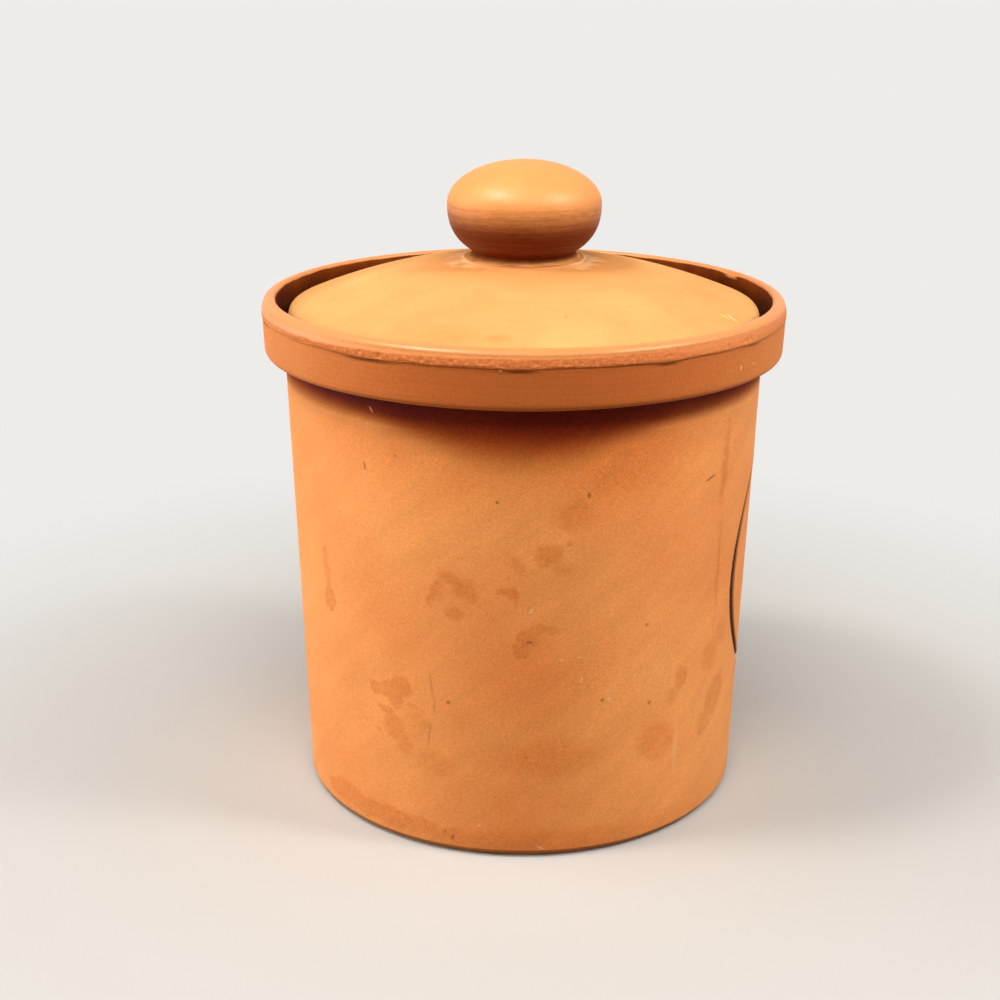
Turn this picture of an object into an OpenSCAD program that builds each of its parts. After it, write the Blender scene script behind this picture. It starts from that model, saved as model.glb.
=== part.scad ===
// Terracotta biscuit canister: a tapered pot with a galleried rim, a domed lid that
// lies on the gallery's ledge, a bun knob luted to the lid, and a finned seal round
// the flange under the lid. Origin at the middle of the base, on the table.

/* [Pot] */
// Height of the pot from the table to the top of its rim
pot_h = 167; // [130:1:220]
// Diameter of the body just above the bevel round its foot
base_d = 147.4; // [120:0.2:165]
// Diameter of the body where it runs under the rim band
shoulder_d = 156.2; // [140:0.2:180]
// Thickness of the body's wall
wall = 6; // [5:0.5:8]
// Thickness of the floor
floor_t = 7; // [5:0.5:10]
// Bevel round the foot of the body
foot_bevel = 2.5; // [1:0.5:4]
// Width of the ring that the pot stands on
stand_ring_w = 11; // [6:1:20]
// Depth of the hollow inside that ring
foot_hollow = 1.6; // [0.5:0.1:3]
// Radius between the inside of the wall and the floor
inside_corner_r = 10; // [4:1:16]

/* [Rim] */
// How far the lip stands out beyond the body
rim_overhang = 7.4; // [6:0.1:10]
// Height of the rim band
rim_h = 18; // [16:0.5:24]
// Thickness of the rim band beside the lid
rim_wall = 5; // [4:0.2:6]
// Drop from the top of the rim to the lip
lip_drop = 4.4; // [3.4:0.2:6]
// How far the lip stands out beyond the band under it
lip_step = 0.5; // [0.2:0.1:1.2]
// Width of the fettled bevel above the lip
lip_bevel_w = 1; // [0.6:0.1:1.4]
// Height of that bevel
lip_bevel_h = 2.5; // [1.5:0.1:3]
// How far the band draws in from the lip to its lower edge
rim_lean = 0.5; // [0:0.1:1.5]
// Radius of the band's lower edge
rim_edge_r = 2; // [1:0.5:4]
// Radius in the corner under the band
rim_cove_r = 1.5; // [0.5:0.5:2]
// Radius of the rim's inner edge, inside its rounded crest
crest_r = 1.2; // [0.5:0.1:1.6]

/* [Gallery] */
// Depth from the top of the rim to the ledge that carries the lid
gallery_depth = 11.5; // [9:0.5:13]
// Radius in the corner between the ledge and the rim
ledge_cove_r = 2; // [1:0.5:2.5]
// Radius of the mouth's upper edge
mouth_edge_r = 1; // [0.5:0.25:1.5]
// Depth of the straight throat under the ledge, where the seal runs
throat_h = 18; // [16:1:26]

/* [Lid] */
// Gap all round between the lid and the rim
lid_gap = 4; // [2:0.1:4.5]
// Height from the ledge to where the dome would meet the lid's side
lid_edge_h = 7.5; // [6:0.5:10]
// Rise of the dome above that edge
lid_rise = 15.8; // [10:0.2:24]
// Thickness of the dome
lid_t = 6.5; // [5:0.5:9]
// Radius of the lid's upper edge
lid_edge_r = 2.5; // [1:0.5:3]
// Radius of the lid's lower edge
lid_foot_r = 1; // [0.5:0.25:1.5]

/* [Flange] */
// Depth of the flange below the ledge
flange_h = 14; // [12:0.5:16]
// Thickness of the flange
flange_t = 6; // [5:0.5:8]
// Gap between the flange and the mouth
flange_gap = 2; // [1.5:0.1:3]
// Radius of the flange's lower edges
flange_edge_r = 1.5; // [0.5:0.25:2]
// Radius between the flange and the inside of the dome
flange_cove_r = 5; // [2:0.5:8]
// Height of the plain flange below the seal's groove
groove_foot = 2.5; // [2:0.25:3]
// Height of the seal's groove
groove_h = 8; // [6:0.5:9]
// Depth of the seal's groove
groove_depth = 1.5; // [1:0.1:2]

/* [Knob] */
// Diameter of the knob at its widest
knob_d = 49.8; // [42:0.2:60]
// Height of the knob above its widest part
knob_crown_h = 13.7; // [8:0.1:20]
// Depth of the curve under its widest part, were it not cut off by the neck
knob_under_h = 18.3; // [12:0.1:24]
// Fullness of that curve, where 2 is an ellipse
knob_fullness = 2.4; // [2:0.1:3]
// Diameter of the neck
neck_d = 33.6; // [24:0.2:38]
// Height of the neck
neck_h = 2.4; // [1.2:0.1:5]
// Height of the lid's seat for the knob, above the dome at the seat's edge
seat_h = 0.5; // [0.2:0.1:2]

/* [Slip collar] */
// Width of the collar round the neck
collar_w = 2.6; // [1.5:0.1:5]
// Bare height of the neck above the collar
collar_drop = 0.4; // [0.2:0.1:0.8]
// Thickness of the collar at its outer edge
collar_edge_t = 0.4; // [0.2:0.1:0.6]
// Width of the bare seat outside the collar
seat_margin = 0.3; // [0.1:0.1:2]

/* [Seal] */
// Thickness of the seal's band
seal_t = 1.7; // [1.2:0.1:2]
// Clearance between the seal and its groove
seal_play = 0.1; // [0.05:0.05:0.3]
// Number of fins
fin_n = 2; // [1:1:3]
// Thickness of a fin at its root
fin_root_t = 1.6; // [1:0.1:1.8]
// Thickness of a fin at its tip
fin_tip_t = 0.7; // [0.4:0.1:0.9]
// Height of a fin's tip above its root
fin_lift = 0.9; // [0:0.1:1.2]
// Clearance between the fins and the mouth
fin_clear = 0.3; // [0.2:0.05:0.5]

/* [Hidden] */
$fn = 128;

clay = "#d98a4e";
pale_slip = "#e8ad72";
soft_white = "#e9e6dc";

// Pot: radii and heights
base_r = base_d / 2;
shoulder_r = shoulder_d / 2;
mouth_r = shoulder_r - wall;
lip_r = shoulder_r + rim_overhang;
band_r = lip_r - lip_step;
band_foot_r = band_r - rim_lean;
gallery_r = lip_r - rim_wall;
stand_r = base_r - foot_bevel;
hollow_r = stand_r - stand_ring_w;
floor_z = foot_hollow + floor_t;
rim_z = pot_h - rim_h;
lip_z = pot_h - lip_drop;
crest_w = rim_wall - lip_bevel_w - crest_r;
crest_h = lip_drop - lip_bevel_h;
ledge_z = pot_h - gallery_depth;
throat_z = ledge_z - throat_h;

// Lid: a spherical dome over a cylindrical edge, hollow underneath
lid_r = gallery_r - lid_gap;
dome_r = (lid_r * lid_r + lid_rise * lid_rise) / (2 * lid_rise);
dome_z = ledge_z + lid_edge_h + lid_rise - dome_r;
hollow_dome_r = dome_r - lid_t;
edge_z = dome_z + side(dome_r - lid_edge_r, lid_r - lid_edge_r);
edge_a = atan2(edge_z - dome_z, lid_r - lid_edge_r);

// Flange: drops into the mouth and carries the seal in a groove
flange_r = mouth_r - flange_gap;
flange_in_r = flange_r - flange_t;
flange_z = ledge_z - flange_h;
cove_z = dome_z + side(hollow_dome_r - flange_cove_r, flange_in_r - flange_cove_r);
cove_a = atan2(cove_z - dome_z, flange_in_r - flange_cove_r);
groove_r = flange_r - groove_depth;
groove_z = flange_z + groove_foot;

// Knob and collar: both stand on a flat seat in the middle of the dome
neck_r = neck_d / 2;
knob_r = knob_d / 2;
collar_r = neck_r + collar_w;
collar_h = neck_h - collar_drop;
seat_r = collar_r + seat_margin;
seat_z = dome_z + side(dome_r, seat_r) + seat_h;
seat_a = acos(seat_r / dome_r);
neck_a = acos(pow(neck_r / knob_r, knob_fullness / 2));
knob_z = seat_z + neck_h + knob_under_h * pow(sin(neck_a), 2 / knob_fullness);

// Seal: a band in the groove with fins that reach for the mouth
seal_in_r = groove_r + seal_play;
seal_out_r = seal_in_r + seal_t;
seal_z = groove_z + seal_play;
seal_h = groove_h - 2 * seal_play;
fin_r = mouth_r - fin_clear;
fin_pitch = seal_h / fin_n;

// Length of the other side of a right triangle
function side(long, short) = sqrt(long * long - short * short);

// Points along an arc round c, from angle a0 to a1
function arc(c, r, a0, a1, n = 8) =
    [for (i = [0 : n]) c + r * [cos(a0 + (a1 - a0) * i / n), sin(a0 + (a1 - a0) * i / n)]];

// Quarter of a superellipse, from angle a0 to a1, with half axes a and b
function bulge(c, a, b, power, a0, a1, n = 20) =
    [for (i = [0 : n])
        let (t = a0 + (a1 - a0) * i / n)
        c + [a * pow(cos(t), 2 / power), b * sign(sin(t)) * pow(abs(sin(t)), 2 / power)]];

// Outside of the pot, from the middle of the base up to the lip
function pot_outside() = concat(
    [[0, foot_hollow], [hollow_r - foot_hollow, foot_hollow], [hollow_r, 0]],
    [[stand_r, 0], [base_r, foot_bevel]],
    arc([shoulder_r + rim_cove_r, rim_z - rim_cove_r], rim_cove_r, 180, 90),
    arc([band_foot_r - rim_edge_r, rim_z + rim_edge_r], rim_edge_r, -90, 0),
    [[band_r, lip_z - 2 * lip_step], [lip_r, lip_z - lip_step], [lip_r, lip_z]]);

// Top of the rim and the gallery, from the fettled bevel over the crest to the mouth
function pot_gallery() = concat(
    bulge([gallery_r + crest_r, pot_h - crest_h], crest_w, crest_h, 2, 0, 90, 10),
    arc([gallery_r + crest_r, pot_h - crest_r], crest_r, 90, 180),
    arc([gallery_r - ledge_cove_r, ledge_z + ledge_cove_r], ledge_cove_r, 0, -90),
    arc([mouth_r + mouth_edge_r, ledge_z - mouth_edge_r], mouth_edge_r, 90, 180));

// Inside of the pot, from the throat to the middle of the floor
function pot_inside() = concat(
    [[mouth_r, throat_z]],
    arc([base_r - wall - inside_corner_r, floor_z + inside_corner_r], inside_corner_r, 0, -90),
    [[0, floor_z]]);

module pot() {
    color(clay) rotate_extrude() polygon(concat(pot_outside(), pot_gallery(), pot_inside()));
}

// Top of the lid, from the middle of the knob's seat to the lid's lower edge
function lid_outside() = concat(
    [[0, seat_z], [seat_r, seat_z]],
    arc([0, dome_z], dome_r, seat_a, edge_a, 16),
    arc([lid_r - lid_edge_r, edge_z], lid_edge_r, edge_a, 0),
    arc([lid_r - lid_foot_r, ledge_z + lid_foot_r], lid_foot_r, 0, -90));

// Flange, from the lid's underside round its foot and up to the hollow of the dome
function lid_flange() = concat(
    [[flange_r, ledge_z], [flange_r, groove_z + groove_h], [groove_r, groove_z + groove_h]],
    [[groove_r, groove_z], [flange_r, groove_z]],
    arc([flange_r - flange_edge_r, flange_z + flange_edge_r], flange_edge_r, 0, -90),
    arc([flange_in_r + flange_edge_r, flange_z + flange_edge_r], flange_edge_r, -90, -180),
    arc([flange_in_r - flange_cove_r, cove_z], flange_cove_r, 0, cove_a),
    arc([0, dome_z], hollow_dome_r, cove_a, 90, 16));

module lid() {
    color(clay) rotate_extrude() polygon(concat(lid_outside(), lid_flange()));
}

module knob() {
    color(clay) rotate_extrude() polygon(concat(
        [[0, seat_z], [neck_r, seat_z]],
        bulge([0, knob_z], knob_r, knob_under_h, knob_fullness, -neck_a, 0),
        bulge([0, knob_z], knob_r, knob_crown_h, 2, 0, 90)));
}

module knob_slip_collar() {
    cove_h = collar_h - collar_edge_t;
    color(pale_slip) rotate_extrude() polygon(concat(
        [[neck_r, seat_z], [collar_r, seat_z]],
        [for (t = [0 : 10 : 90])
            [neck_r + collar_w * (1 - sin(t)), seat_z + collar_edge_t + cove_h * (1 - cos(t))]]));
}

module fin(z) {
    polygon([
        [seal_in_r, z - fin_root_t / 2],
        [seal_out_r, z - fin_root_t / 2],
        [fin_r, z + fin_lift - fin_tip_t / 2],
        [fin_r, z + fin_lift + fin_tip_t / 2],
        [seal_out_r, z + fin_root_t / 2],
        [seal_in_r, z + fin_root_t / 2]]);
}

module lid_seal() {
    color(soft_white) rotate_extrude() union() {
        translate([seal_in_r, seal_z]) square([seal_t, seal_h]);
        for (i = [0 : fin_n - 1]) fin(seal_z + fin_pitch * (i + 0.5) - fin_lift / 2);
    }
}

pot();
lid();
knob();
knob_slip_collar();
lid_seal();
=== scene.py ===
import random
from math import acos, atan2, cos, hypot, pi, radians, sin, tan

import bmesh
import bpy
from mathutils import Matrix, Vector, noise


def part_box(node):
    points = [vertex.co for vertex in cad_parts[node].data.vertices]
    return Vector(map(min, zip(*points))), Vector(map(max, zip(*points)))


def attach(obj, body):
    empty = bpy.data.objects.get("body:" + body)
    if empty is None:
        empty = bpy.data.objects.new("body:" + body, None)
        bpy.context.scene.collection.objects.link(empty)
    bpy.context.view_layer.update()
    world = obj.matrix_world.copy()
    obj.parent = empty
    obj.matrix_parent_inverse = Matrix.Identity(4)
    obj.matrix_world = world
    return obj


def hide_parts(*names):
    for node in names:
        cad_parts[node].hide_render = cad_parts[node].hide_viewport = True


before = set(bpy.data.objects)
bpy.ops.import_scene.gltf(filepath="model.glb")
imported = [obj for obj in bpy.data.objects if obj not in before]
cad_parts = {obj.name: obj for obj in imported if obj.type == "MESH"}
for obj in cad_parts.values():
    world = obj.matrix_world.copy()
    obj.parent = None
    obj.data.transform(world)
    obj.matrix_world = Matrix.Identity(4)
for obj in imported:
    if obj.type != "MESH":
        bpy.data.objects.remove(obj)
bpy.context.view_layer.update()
scene = bpy.context.scene
mm = 0.001
print("frame loaded:", ", ".join(sorted(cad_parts)))

# The label faces +X. The photograph was taken from the label's left, so it shows only its edge.
view = {
    "turn": -13.0,  # degrees round the pot from -Y
    "distance": 533.2,  # mm from the pot's axis
    "height": 273.4,  # mm above the table
    "pitch": 18.51,
    "yaw": 0.80,
    "roll": 0.23,
    "lens": 59.43,
}


def toLinear(hexColour):
    channels = [int(hexColour[i:i + 2], 16) / 255 for i in (1, 3, 5)]
    return [c / 12.92 if c <= 0.04045 else ((c + 0.055) / 1.055) ** 2.4 for c in channels] + [1.0]


def perMm(size):
    return 1000.0 / size  # texture scale whose features are this many millimetres wide


def addNode(tree, kind, settings, links):
    node = tree.nodes.new("ShaderNode" + kind)
    for name, value in settings.items():
        setattr(node, name, value)
    for socket, source in links.items():
        if isinstance(source, bpy.types.NodeSocket):
            tree.links.new(source, node.inputs[socket])
        else:
            node.inputs[socket].default_value = source
    return node


# Settings that many nodes share. Inputs go by number: MapRange takes 0 value, 1-2 its range, 3-4 the new
# range (0 to 1 if left out); Mix takes 0 share, 2-3 numbers or 6-7 colours
eased = {"interpolation_type": "SMOOTHSTEP"}
product = {"operation": "MULTIPLY"}
productPlus = {"operation": "MULTIPLY_ADD"}
scaled = {"operation": "SCALE"}
colours = {"data_type": "RGBA"}


def newMaterial(name):
    material = bpy.data.materials.new(name)
    material.use_nodes = True
    material.node_tree.nodes.clear()
    return material, material.node_tree


def smooth(low, high, value):
    t = min(1.0, max(0.0, (value - low) / (high - low)))
    return t * t * (3 - 2 * t)


def grain(point, size, seed=0.0):
    return noise.noise(Vector(point) / (size * mm) + Vector((seed, seed, seed)))  # about -1 to 1


# Turned pieces: an outline is rounded, cut into rows and turned about the pot's axis

def turnOutline(corners, rowGap, steps):
    bm = bmesh.new()
    posts = [bm.verts.new((r * mm, 0, z * mm)) for r, z, rounding in corners]
    for a, b in zip(posts, posts[1:]):
        bm.edges.new((a, b))
    for i in range(1, len(corners) - 1):
        r, z, rounding = corners[i]
        if rounding == 0:
            continue
        before = Vector((r - corners[i - 1][0], z - corners[i - 1][1]))
        after = Vector((corners[i + 1][0] - r, corners[i + 1][1] - z))
        bmesh.ops.bevel(bm, geom=[posts[i]], offset=rounding * tan(before.angle(after) / 2) * mm,
                        offset_type="ABSOLUTE", affect="VERTICES", segments=6 if rounding > 0.9 else 3,
                        profile=0.5, material=-1)
    for edge in bm.edges[:]:
        middle = (edge.verts[0].co + edge.verts[1].co) / 2
        cuts = int(edge.calc_length() / (rowGap(middle.x / mm, middle.z / mm) * mm))
        if cuts:
            bmesh.ops.subdivide_edges(bm, edges=[edge], cuts=cuts)
    # an eighth of a turn, then doubled three times
    bmesh.ops.spin(bm, geom=bm.verts[:] + bm.edges[:], cent=(0, 0, 0), axis=(0, 0, 1),
                   angle=radians(45), steps=steps // 8)
    for turn in (45, 90, 180):
        copy = bmesh.ops.duplicate(bm, geom=bm.verts[:] + bm.edges[:] + bm.faces[:])["geom"]
        bmesh.ops.rotate(bm, verts=[g for g in copy if isinstance(g, bmesh.types.BMVert)], cent=(0, 0, 0),
                         matrix=Matrix.Rotation(radians(turn), 3, "Z"))
    bmesh.ops.remove_doubles(bm, verts=bm.verts[:], dist=0.002 * mm)
    bmesh.ops.recalc_face_normals(bm, faces=bm.faces[:])
    bm.normal_update()
    return bm


def addPiece(name, bm, material, body, node):
    mesh = bpy.data.meshes.new(name)
    bm.to_mesh(mesh)
    bm.free()
    mesh.shade_smooth()
    mesh.materials.append(material)
    piece = bpy.data.objects.new(name, mesh)
    scene.collection.objects.link(piece)
    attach(piece, body)
    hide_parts(node)
    triangles = sum(len(p.vertices) - 2 for p in mesh.polygons)
    print("made", name, "with", triangles, "triangles")


# Fired clay: a dry, porous surface whose colour drifts with the kiln and whose sand shows as fine grit

ironSpeck = "#6e3518"


def firedClay(name, look):
    material, tree = newMaterial(name)
    where = addNode(tree, "TexCoord", {}, {}).outputs["Object"]
    drift = addNode(tree, "TexNoise", {}, {
        "Vector": where, "Scale": perMm(look["driftMm"]), "Detail": 3.0, "Roughness": 0.55}).outputs["Fac"]
    grit = addNode(tree, "TexNoise", {}, {
        "Vector": where, "Scale": perMm(look["gritMm"]), "Detail": 3.0, "Roughness": 0.75}).outputs["Fac"]
    spread = addNode(tree, "MapRange", {}, {0: drift, 1: 0.3, 2: 0.7}).outputs[0]
    base = addNode(tree, "Mix", colours, {
        0: spread, 6: toLinear(look["deep"]), 7: toLinear(look["light"])}).outputs[2]
    shade = addNode(tree, "MapRange", {}, {
        0: grit, 1: 0.3, 2: 0.7, 3: 1.0 - look["gritShade"], 4: 1.0 + look["gritShade"]}).outputs[0]
    colour = addNode(tree, "VectorMath", scaled, {0: base, 3: shade}).outputs[0]
    # sparse iron specks, each cell of the pattern with a size of its own and most with none
    cells = addNode(tree, "TexVoronoi", {}, {
        "Vector": where, "Scale": perMm(look["speckGapMm"])}).outputs
    chance = addNode(tree, "SeparateColor", {}, {0: cells["Color"]}).outputs[0]
    size = addNode(tree, "MapRange", {}, {0: chance, 1: 0.7, 2: 1.0, 3: -0.05, 4: 0.07}).outputs[0]
    edge = addNode(tree, "Math", {"operation": "SUBTRACT"}, {0: cells["Distance"], 1: size}).outputs[0]
    dot = addNode(tree, "MapRange", eased, {
        0: edge, 1: -0.02, 2: 0.01, 3: look["speck"], 4: 0.0}).outputs[0]
    colour = addNode(tree, "Mix", colours, {0: dot, 6: colour, 7: toLinear(ironSpeck)}).outputs[2]
    return {"material": material, "tree": tree, "where": where, "grit": grit, "shade": shade,
            "colour": colour, "height": grit, "rough": None}


def finishClay(clay, look):
    tree = clay["tree"]
    bump = addNode(tree, "Bump", {}, {
        "Strength": look["bump"], "Distance": look["bumpMm"] * mm, "Height": clay["height"]}).outputs[0]
    shader = addNode(tree, "BsdfPrincipled", {}, {
        "Base Color": clay["colour"], "Roughness": look["rough"], "IOR": 1.5,
        "Specular IOR Level": look["gloss"], "Normal": bump})
    if clay["rough"]:
        tree.links.new(clay["rough"], shader.inputs["Roughness"])
    addNode(tree, "OutputMaterial", {}, {"Surface": shader.outputs[0]})
    return clay["material"]


# Pot

pot = {
    "shoulderR": 78.1, "baseR": 73.7, "wall": 6.0, "floor": 7.0, "cornerR": 10.0,
    "footBevel": 2.5, "standRing": 11.0, "footHollow": 1.6,
    "rimH": 18.0, "rimWall": 5.0, "lipDrop": 4.4, "lipStep": 0.5, "bevelW": 1.0, "bevelH": 2.5,
    "lean": 0.5, "edgeR": 2.0, "coveR": 1.5, "crestR": 1.2,
    "galleryDepth": 11.5, "ledgeCove": 2.0, "mouthEdge": 1.0, "throatH": 18.0,
    # one chip, turned from the photographed side
    "chipTurn": radians(117), "chipHalfL": 8.5, "chipDepth": 1.55, "chipSink": 0.35,
    "glazeStop": 0.9,  # how far below the top of the rim the glaze ends
    "shadeReach": 8.0, "shadeReachFront": 16.0, "shadeSolid": 2.5,  # painted shade below the band, reaching further in front
    "frontShadeTurn": 0.1, "frontShadeFrom": 100.0, "frontShadeTo": 138.0,  # where the painted shade on the side facing the camera lies and deepens
    "dent": 0.10, "dentW": 38.0,  # slow dips that the maker's hand left
    "markR": 76.0,  # mean radius of the wall, on which its marks are placed
    "steps": 336,
}
pot["lipR"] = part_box("pot")[1].x / mm
pot["height"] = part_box("pot")[1].z / mm
pot["rimZ"] = pot["height"] - pot["rimH"]
pot["lipZ"] = pot["height"] - pot["lipDrop"]
pot["ledgeZ"] = pot["height"] - pot["galleryDepth"]
pot["galleryR"] = pot["lipR"] - pot["rimWall"]
pot["mouthR"] = pot["shoulderR"] - pot["wall"]
pot["floorZ"] = pot["footHollow"] + pot["floor"]

# Oval line pressed into the wall and rubbed with brown oxide, round a plain ear of wheat
label = {
    "halfW": 47.4, "halfH": 46.1, "middleZ": 80.0, "line": 3.1, "depth": 0.7, "edge": 0.5, "burr": 0.12,
    "grains": 6, "grainGap": 7.0, "grainL": 6.2, "grainW": 2.2, "grainLean": 24.0, "earFoot": -8.0,
    "grainOut": 4.0, "stemW": 1.1, "stemFoot": -33.0, "leafL": 11.0, "leafW": 2.6, "leafOut": 7.0,
    "leafUp": 10.0, "leafLean": 38.0, "wheatHalfW": 20.0,
    "fromX": 45.0,  # all of it lies further than this towards +X
}


def potOutline():
    p = pot
    standR = p["baseR"] - p["footBevel"]
    hollowR = standR - p["standRing"]
    bandR = p["lipR"] - p["lipStep"]
    crestW = p["rimWall"] - p["bevelW"] - p["crestR"]
    crestH = p["lipDrop"] - p["bevelH"]
    crest = []
    for i in range(11):  # a quarter of an ellipse, from the bevel to the top of the rim
        a = pi / 2 * i / 10
        crest.append((p["galleryR"] + p["crestR"] + crestW * cos(a), p["height"] - crestH * (1 - sin(a)), 0))
    return [
        (0, p["footHollow"], 0), (hollowR - p["footHollow"], p["footHollow"], 0.8), (hollowR, 0, 0.8),
        (standR, 0, 0.7), (p["baseR"], p["footBevel"], 0.6),
        (p["shoulderR"], p["rimZ"], p["coveR"]), (bandR - p["lean"], p["rimZ"], p["edgeR"]),
        (bandR, p["lipZ"] - 2 * p["lipStep"], 0.6), (p["lipR"], p["lipZ"] - p["lipStep"], 0.3),
        (p["lipR"], p["lipZ"], 0.9)] + crest[:-1] + [
        (p["galleryR"], p["height"], p["crestR"]), (p["galleryR"], p["ledgeZ"], p["ledgeCove"]),
        (p["mouthR"], p["ledgeZ"], p["mouthEdge"]), (p["mouthR"], p["ledgeZ"] - p["throatH"], 6.0),
        (p["baseR"] - p["wall"], p["floorZ"], p["cornerR"]), (0, p["floorZ"], 0),
    ]


def potRowGap(r, z):
    # mm between rows, closer where the surface is worked
    if pot["lipZ"] - 1.2 < z < pot["lipZ"] + pot["bevelH"] + 0.4 and r > pot["galleryR"] + 2:
        return 0.27  # the fettled bevel
    if z > pot["height"] - 3.5 and pot["galleryR"] - 1 < r < pot["galleryR"] + 2:
        return 0.3  # the inner edge, where the glaze ends
    if z > pot["rimZ"] - 14 and r > pot["mouthR"] + 1.5:
        return 1.2
    return 4.0 if r > pot["mouthR"] - 2 else 12.0


def ovalGap(s, t, halfW, halfH):
    near = hypot(s / halfW, t / halfH)
    slope = hypot(s / halfW ** 2, t / halfH ** 2)
    return near * (near - 1) / slope if slope > 1e-9 else -min(halfW, halfH)


def earOfWheat():
    # each mark: across, up, lean, half length, half width
    w = label
    marks = [(0, w["earFoot"] + w["grains"] * w["grainGap"] + 2, 0, w["grainL"], w["grainW"])]
    for i in range(w["grains"]):
        t = w["earFoot"] + i * w["grainGap"]
        for way in (-1, 1):
            marks.append((way * w["grainOut"], t, way * w["grainLean"], w["grainL"], w["grainW"]))
    middle = (w["earFoot"] + w["stemFoot"]) / 2
    marks.append((0, middle, 0, (w["earFoot"] - w["stemFoot"]) / 2, w["stemW"] / 2))
    leafZ = w["stemFoot"] + w["leafUp"]
    for way in (-1, 1):
        marks.append((way * w["leafOut"], leafZ, way * w["leafLean"], w["leafL"], w["leafW"] / 2))
    return marks


wheat = earOfWheat()


def tilted(s, t, lean):
    a = radians(lean)
    return s * cos(a) - t * sin(a), s * sin(a) + t * cos(a)


def labelPress(s, t):
    # how far a point lies in the pressed line or the wheat, and on the burr that stands up beside them
    gap = abs(ovalGap(s, t, label["halfW"], label["halfH"])) - label["line"] / 2
    if abs(s) < label["wheatHalfW"]:
        for ms, mt, lean, length, width in wheat:
            across, along = tilted(s - ms, t - mt, lean)
            if abs(along) < length + 1 and abs(across) < width + 1:
                gap = min(gap, ovalGap(across, along, width, length))
    pressed = 1.0 - smooth(-label["edge"], 0.15, gap)
    raised = smooth(0.0, 0.25, gap) * (1.0 - smooth(0.3, 0.9, gap))
    stained = 1.0 - smooth(-0.3, 0.3, gap)
    return pressed, raised, stained


def onLabel(point, margin):
    if point.x < label["fromX"] * mm or abs(point.z / mm - label["middleZ"]) > label["halfH"] + 3:
        return False
    s = point.y / mm
    t = point.z / mm - label["middleZ"]
    fromLine = abs(ovalGap(s, t, label["halfW"], label["halfH"]))
    if abs(fromLine - label["line"] / 2) < margin:
        return True
    for ms, mt, lean, length, width in wheat:
        across, along = tilted(s - ms, t - mt, lean)
        if hypot(across, along) <= length + margin and abs(across) < width + margin:
            return True
    return False


def refineLabel(bm):
    # rows first, then both ways, so that the pressed edges are crisp
    for margin, cuts, onlyRows in ((2.2, 4, True), (0.9, 2, False)):
        edges = set()
        for face in bm.faces:
            if len(face.verts) == 4 and face.normal.x > 0.4 and onLabel(face.calc_center_median(), margin):
                for edge in face.edges:
                    if not onlyRows or abs(edge.verts[0].co.z - edge.verts[1].co.z) > 1.5 * mm:
                        edges.add(edge)
        bmesh.ops.subdivide_edges(bm, edges=list(edges), cuts=cuts, use_grid_fill=True)
    bm.normal_update()


def seenAngle(point):
    # radians round the pot from its photographed side, to the right, from -90 to 270 degrees
    return (atan2(point.x, -point.y) - radians(view["turn"]) + 0.5 * pi) % (2 * pi) - 0.5 * pi


def bevelTop(point, side):
    # height at which the rough strip ends: a line on the left of the rim, the whole bevel in front and right
    rim = (point.x, point.y, 0.0)
    wider = 0.5 * smooth(-1.1, -0.1, side) + 0.3 * smooth(0.0, 0.8, side)
    share = 0.2 + wider * (1 - smooth(2.2, 4.2, side))
    return pot["lipZ"] + share * pot["bevelH"] + 0.25 * grain(rim, 9.0, 3.1) + 0.15 * grain(rim, 2.5, 7.7)


def rimNicks():
    draw = random.Random(11)
    nicks = []
    stretches = ((-50, 40, 40, 0.4), (40, 300, 60, 0.25))  # degrees from -Y towards +X, count, deepest
    for first, last, count, deepest in stretches:
        for i in range(count):
            nicks.append((radians(draw.uniform(first, last)), draw.uniform(-0.5, 0.9),
                          draw.uniform(0.5, 1.5), draw.uniform(0.1, deepest)))
    return nicks


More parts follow.
